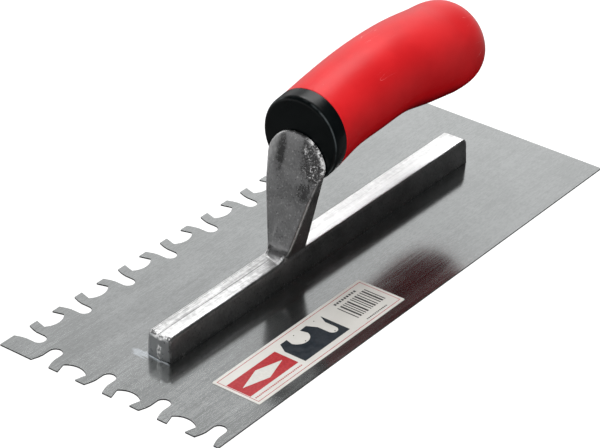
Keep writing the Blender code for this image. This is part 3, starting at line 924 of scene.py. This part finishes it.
def build_rivets():
    """Flush rivets with dished heads."""
    material = rivet_steel()
    for name, (low, high) in rivet_boxes():
        head = (high.y - low.y) / 2
        shank = head * 2 / 3
        profile = (
            *((head * share, z) for share, z in RIVET_DISH),
            (head - RIVET_EDGE, RIVET_EDGE_Z[0]),
            (head, RIVET_EDGE_Z[1]),
            (head, BLADE_HIGH.z - FIT),
            (shank, BLADE_HIGH.z),
            (shank, high.z - RIVET_TIP_CHAMFER),
            (shank - RIVET_TIP_CHAMFER, high.z),
        )
        bm = bmesh.new()
        turned(bm, (low.x + high.x) / 2, profile, ROUND_SIDES)
        attach(make_object(f"flush_{name}", bm, [material], 35), "rivet_steel", name)


# ---------------------------------------------------------------- handle

def handle_section(x):
    """Centre height and radius of the handle at x, on a smooth curve through the stations."""
    stations = HANDLE_STATIONS
    last = len(stations) - 2
    index = 0
    while index < last and x < stations[index + 1][0]:
        index += 1
    x0, x1 = stations[index][0], stations[index + 1][0]
    t = (x - x0) / (x1 - x0)
    before = stations[max(index - 1, 0)]
    after = stations[min(index + 2, len(stations) - 1)]
    result = []
    for axis in (1, 2):
        p0, p1 = stations[index][axis], stations[index + 1][axis]
        slope0 = (p1 - before[axis]) / (x1 - before[0]) * (x1 - x0)
        slope1 = (after[axis] - p0) / (after[0] - x0) * (x1 - x0)
        curve = (2 * t ** 3 - 3 * t ** 2 + 1) * p0 + (t ** 3 - 2 * t ** 2 + t) * slope0
        curve += (3 * t ** 2 - 2 * t ** 3) * p1 + (t ** 3 - t ** 2) * slope1
        result.append(curve)
    return result


def round_ring(x, centre_z, radius, sides):
    return [(x, y, centre_z + z) for y, z in arc(0, 0, radius, 0, 360, sides)[:-1]]


def handle_rings(inset, cap_length, sides, steps):
    """Rings of the handle's body from the collar to its blunt rear end, inset all round."""
    rear = HANDLE_STATIONS[-1][0]
    rings = []
    for k in range(steps + 1):
        x = COLLAR_REAR_X + (rear - COLLAR_REAR_X) * k / steps
        centre_z, radius = handle_section(min(x, HANDLE_STATIONS[0][0]))
        rings.append(round_ring(x, centre_z, radius - inset, sides))
    centre_z, radius = handle_section(rear)
    for angle in range(6, 90, 6):
        along = math.sin(math.radians(angle))
        shrink = (1 - along ** GRIP_CAP_POWER) ** (1 / GRIP_CAP_POWER)
        sunk_z = centre_z - GRIP_CAP_SINK * along
        rings.append(round_ring(rear - cap_length * along, sunk_z, (radius - inset) * shrink, sides))
    return rings


def collar_centre(x):
    share = (x - COLLAR_REAR_X) / (COLLAR_FRONT_X - COLLAR_REAR_X)
    return blend_between(COLLAR_REAR_Z, COLLAR_FRONT_Z, share)


def build_core():
    """Hard core: the bare collar at the front, the part under the grip, and the tang's bore."""
    front_radius = COLLAR_RADIUS - 2 * COLLAR_EDGE_RADIUS
    rings = [round_ring(COLLAR_FRONT_X, COLLAR_FRONT_Z, front_radius, CORE_SIDES)]
    for along, out in arc(0, 0, COLLAR_EDGE_RADIUS, 0, 90, 9):
        ring_x = COLLAR_FRONT_X - COLLAR_EDGE_RADIUS + along
        radius = COLLAR_RADIUS - COLLAR_EDGE_RADIUS + out
        rings.append(round_ring(ring_x, collar_centre(ring_x), radius, CORE_SIDES))
    rear_x = COLLAR_REAR_X + FIT
    for x, shrink in ((rear_x + COLLAR_STEP, COLLAR_STEP_EASE), (rear_x, COLLAR_STEP)):
        rings.append(round_ring(x, COLLAR_REAR_Z, COLLAR_RADIUS - shrink, CORE_SIDES))
    inner = handle_rings(GRIP_WALL + FIT, CORE_CAP_LENGTH, CORE_SIDES, CORE_STEPS)
    inner_front = [(rear_x, y, z) for x, y, z in inner[0]]
    bm = bmesh.new()
    skin_rings(bm, [*rings, inner_front, *inner])
    core = make_object("handle_core_moulding", bm, [core_plastic()])
    bore = bmesh.new()
    add_tang(bore, FIT, BORE_FRONT_EXTRA, BORE_END_EXTRA)
    cut_away(core, bore)
    core.data.shade_smooth()
    core.data.set_sharp_from_angle(angle=math.radians(35))
    attach(core, "core_plastic", "handle_core")


def build_grip():
    """Soft grip moulded over the core: outer skin, rounded front lip and the core's cavity."""
    outer = handle_rings(0.0, GRIP_CAP_LENGTH, GRIP_SIDES, GRIP_STEPS)
    inner = handle_rings(GRIP_WALL, CORE_CAP_LENGTH + FIT, GRIP_SIDES, CORE_STEPS)
    centre_z, radius = handle_section(COLLAR_REAR_X)
    lip = []
    for along, out in arc(0, 0, GRIP_LIP_RADIUS, 90, 20, 4):
        x = COLLAR_REAR_X - GRIP_LIP_RADIUS + along
        lip.append(round_ring(x, centre_z, radius - GRIP_LIP_RADIUS + out, GRIP_SIDES))
    bm = bmesh.new()
    skin_rings(bm, [*reversed(outer[1:]), *lip, *inner])
    for vert in bm.verts:
        swell = GRIP_SWELL * noise.fractal(vert.co * 28, 1.0, 2.0, 2)
        vert.co.y += swell * (1 if vert.co.y > 0 else -1)
    attach(make_object("grip_moulding", bm, [grip_rubber()], 50), "grip_rubber", "grip")


# ---------------------------------------------------------------- label

def rectangle(x_low, x_high, y_low, y_high):
    return [(x_high, y_low), (x_high, y_high), (x_low, y_high), (x_low, y_low)]


def frame_strips(x_low, x_high, y_low, y_high, width):
    """Four strips that make a rectangular line."""
    return [
        rectangle(x_low, x_high, y_low, y_low + width),
        rectangle(x_low, x_high, y_high - width, y_high),
        rectangle(x_low, x_low + width, y_low + width, y_high - width),
        rectangle(x_high - width, x_high, y_low + width, y_high - width),
    ]


def dashes(x_low, x_high, y, length, gap, width):
    """A dashed rule along the label."""
    outlines = []
    x = x_low
    while x + length <= x_high:
        outlines.append(rectangle(x, x + length, y - width / 2, y + width / 2))
        x += length + gap
    return outlines


def print_layer(name, outlines, ink, level):
    """One colour of print as a thin film on the label."""
    low = BLADE_HIGH.z + PAPER_THICKNESS + INK_THICKNESS * level
    bm = bmesh.new()
    for outline in outlines:
        prism(bm, outline, low, low + INK_THICKNESS)
    attach(make_object(name, bm, [ink]), "label_paper")


def notch_diagram():
    """Outline of the printed picture of the blade's edge: a slot and a scoop."""
    return [
        (0.0405, 0.0473), (0.0709, 0.0473), (0.0709, 0.0366), (0.0679, 0.0320), (0.0636, 0.0320),
        *arc(0.0591, 0.0335, 0.0058, 20, 160, 18),
        (0.0546, 0.0320), (0.0502, 0.0318), (0.0478, 0.0362),
        *arc(0.0453, 0.0417, 0.0025, 0, 180, 16),
        (0.0428, 0.0362), (0.0405, 0.0320),
    ]


def build_label():
    """Paper label with its print: border, plain diamond on a block, notch diagram and plain stripes."""
    low, high = LABEL_LOW, LABEL_HIGH
    bm = bmesh.new()
    sheet = round_corners(rectangle(low.x, high.x, low.y, high.y), LABEL_CORNER_RADIUS, 6)
    prism(bm, sheet, BLADE_HIGH.z, BLADE_HIGH.z + PAPER_THICKNESS)
    attach(make_object("label_sheet", bm, [label_paper()]), "label_paper", "label")

    red = label_ink("label_red_ink", (0.34, 0.004, 0.010), (0.43, 0.018, 0.024))
    navy = label_ink("label_navy_ink", (0.004, 0.009, 0.015), (0.010, 0.017, 0.025))
    black = label_ink("label_black_ink", (0.010, 0.010, 0.010), (0.050, 0.050, 0.048))
    white = label_ink("label_white_ink", *PAPER_COLOURS)

    inset = BORDER_MARGIN
    border = frame_strips(low.x + inset, high.x - inset, low.y + inset, high.y - inset, BORDER_WIDTH)
    print_layer("label_print_red", [*border, rectangle(*BLOCK_BOX), *dashes(*RED_RULE)], red, 0)

    x, y = DIAMOND_MIDDLE
    half_x, half_y = DIAMOND_HALF
    diamond = [(x + half_x, y), (x, y + half_y), (x - half_x, y), (x, y - half_y)]
    print_layer("label_print_diamond", [diamond], white, 1)
    print_layer("label_print_diagram", [notch_diagram()], navy, 0)

    stripes = []
    x = STRIPES_X
    for k in range(STRIPE_COUNT):
        width = STRIPE_WIDTH + WIDE_STRIPE_EXTRA * (k % 3 == 1)
        stripes.append(rectangle(x, x + width, STRIPES_LOW_Y, STRIPES_HIGH_Y))
        x += width + STRIPE_GAP + WIDE_GAP_EXTRA * (k % 4 == 2)
    rules = [dash for rule in BLACK_RULES for dash in dashes(*rule)]
    dots = [arc(dot_x, dot_y, DOT_RADIUS, 0, 360, 12)[:-1] for dot_x, dot_y in DOT_PLACES]
    print_layer("label_print_black", [*stripes, *rules, *dots], black, 0)


# ---------------------------------------------------------------- stage, light, camera

def direction(azimuth, elevation):
    """Unit vector towards a place round the trowel; azimuth 0 is -Y and 90 is +X."""
    a, e = math.radians(azimuth), math.radians(elevation)
    return Vector((math.sin(a) * math.cos(e), -math.cos(a) * math.cos(e), math.sin(e)))


def build_floor():
    bm = bmesh.new()
    outline = rectangle(-FLOOR_HALF, FLOOR_HALF, -FLOOR_HALF, FLOOR_HALF)
    bm.faces.new([bm.verts.new((x, y, FLOOR_Z)) for x, y in outline])
    floor = make_object("floor", bm, [floor_paint()])
    if floor.data.polygons[0].normal.z < 0:
        floor.data.flip_normals()


def add_panel(name, azimuth, elevation, distance, size, power, mirrored):
    """A soft square studio light that faces the trowel. One that isn't mirrored leaves no glare on metal."""
    data = bpy.data.lights.new(name, "AREA")
    data.size = size
    data.energy = power
    panel = bpy.data.objects.new(name, data)
    panel.visible_glossy = mirrored
    away = direction(azimuth, elevation)
    panel.location = away * distance
    panel.rotation_mode = "QUATERNION"
    panel.rotation_quaternion = away.to_track_quat("Z", "Y")
    bpy.context.scene.collection.objects.link(panel)


def light_scene():
    """A sky with one bright wall, a plain backdrop that only the camera sees, and three soft panels."""
    world = bpy.data.worlds.new("studio")
    bpy.context.scene.world = world
    world.use_nodes = True
    tree = world.node_tree
    background = tree.nodes["Background"]
    background.inputs["Color"].default_value = WHITE
    split = tree.nodes.new("ShaderNodeSeparateXYZ")
    place = tree.nodes.new("ShaderNodeTexCoord").outputs["Generated"]
    tree.links.new(place, split.inputs["Vector"])
    x, y, z = split.outputs

    ceiling = remap_node(tree, x, -0.45, 0.15, CEILING, CEILING_TOE)
    height = math_node(tree, "ADD", z, remap_node(tree, x, -0.40, 0.30, 0.0, WALL_DROP))
    side = remap_node(tree, y, -0.35, 0.25, 1.0, 0.0)
    wall = math_node(tree, "MULTIPLY", side, remap_node(tree, height, 0.44, 0.64, WALL, ceiling))
    sky = math_node(tree, "ADD", wall, SKY_DARK)
    seen = tree.nodes.new("ShaderNodeLightPath").outputs["Is Camera Ray"]
    choose = tree.nodes.new("ShaderNodeMix")
    plug(tree, (choose.inputs[0], choose.inputs[2], choose.inputs[3]), (seen, sky, BACKDROP))
    tree.links.new(choose.outputs[0], background.inputs["Strength"])
    for panel in PANELS:
        add_panel(*panel)


def place_camera():
    away = direction(CAMERA_AZIMUTH, CAMERA_ELEVATION)
    data = bpy.data.cameras.new("camera")
    data.lens = CAMERA_LENS
    camera = bpy.data.objects.new("camera", data)
    camera.location = CAMERA_TARGET + away * CAMERA_DISTANCE
    camera.rotation_mode = "QUATERNION"
    roll = Quaternion((0.0, 0.0, 1.0), math.radians(CAMERA_ROLL))
    camera.rotation_quaternion = away.to_track_quat("Z", "Y") @ roll
    bpy.context.scene.collection.objects.link(camera)
    bpy.context.scene.camera = camera


place_camera()
build_floor()
light_scene()
build_blade()
build_mounting()
build_rivets()
build_core()
build_grip()
build_label()
bpy.context.scene.view_settings.view_transform = "Standard"
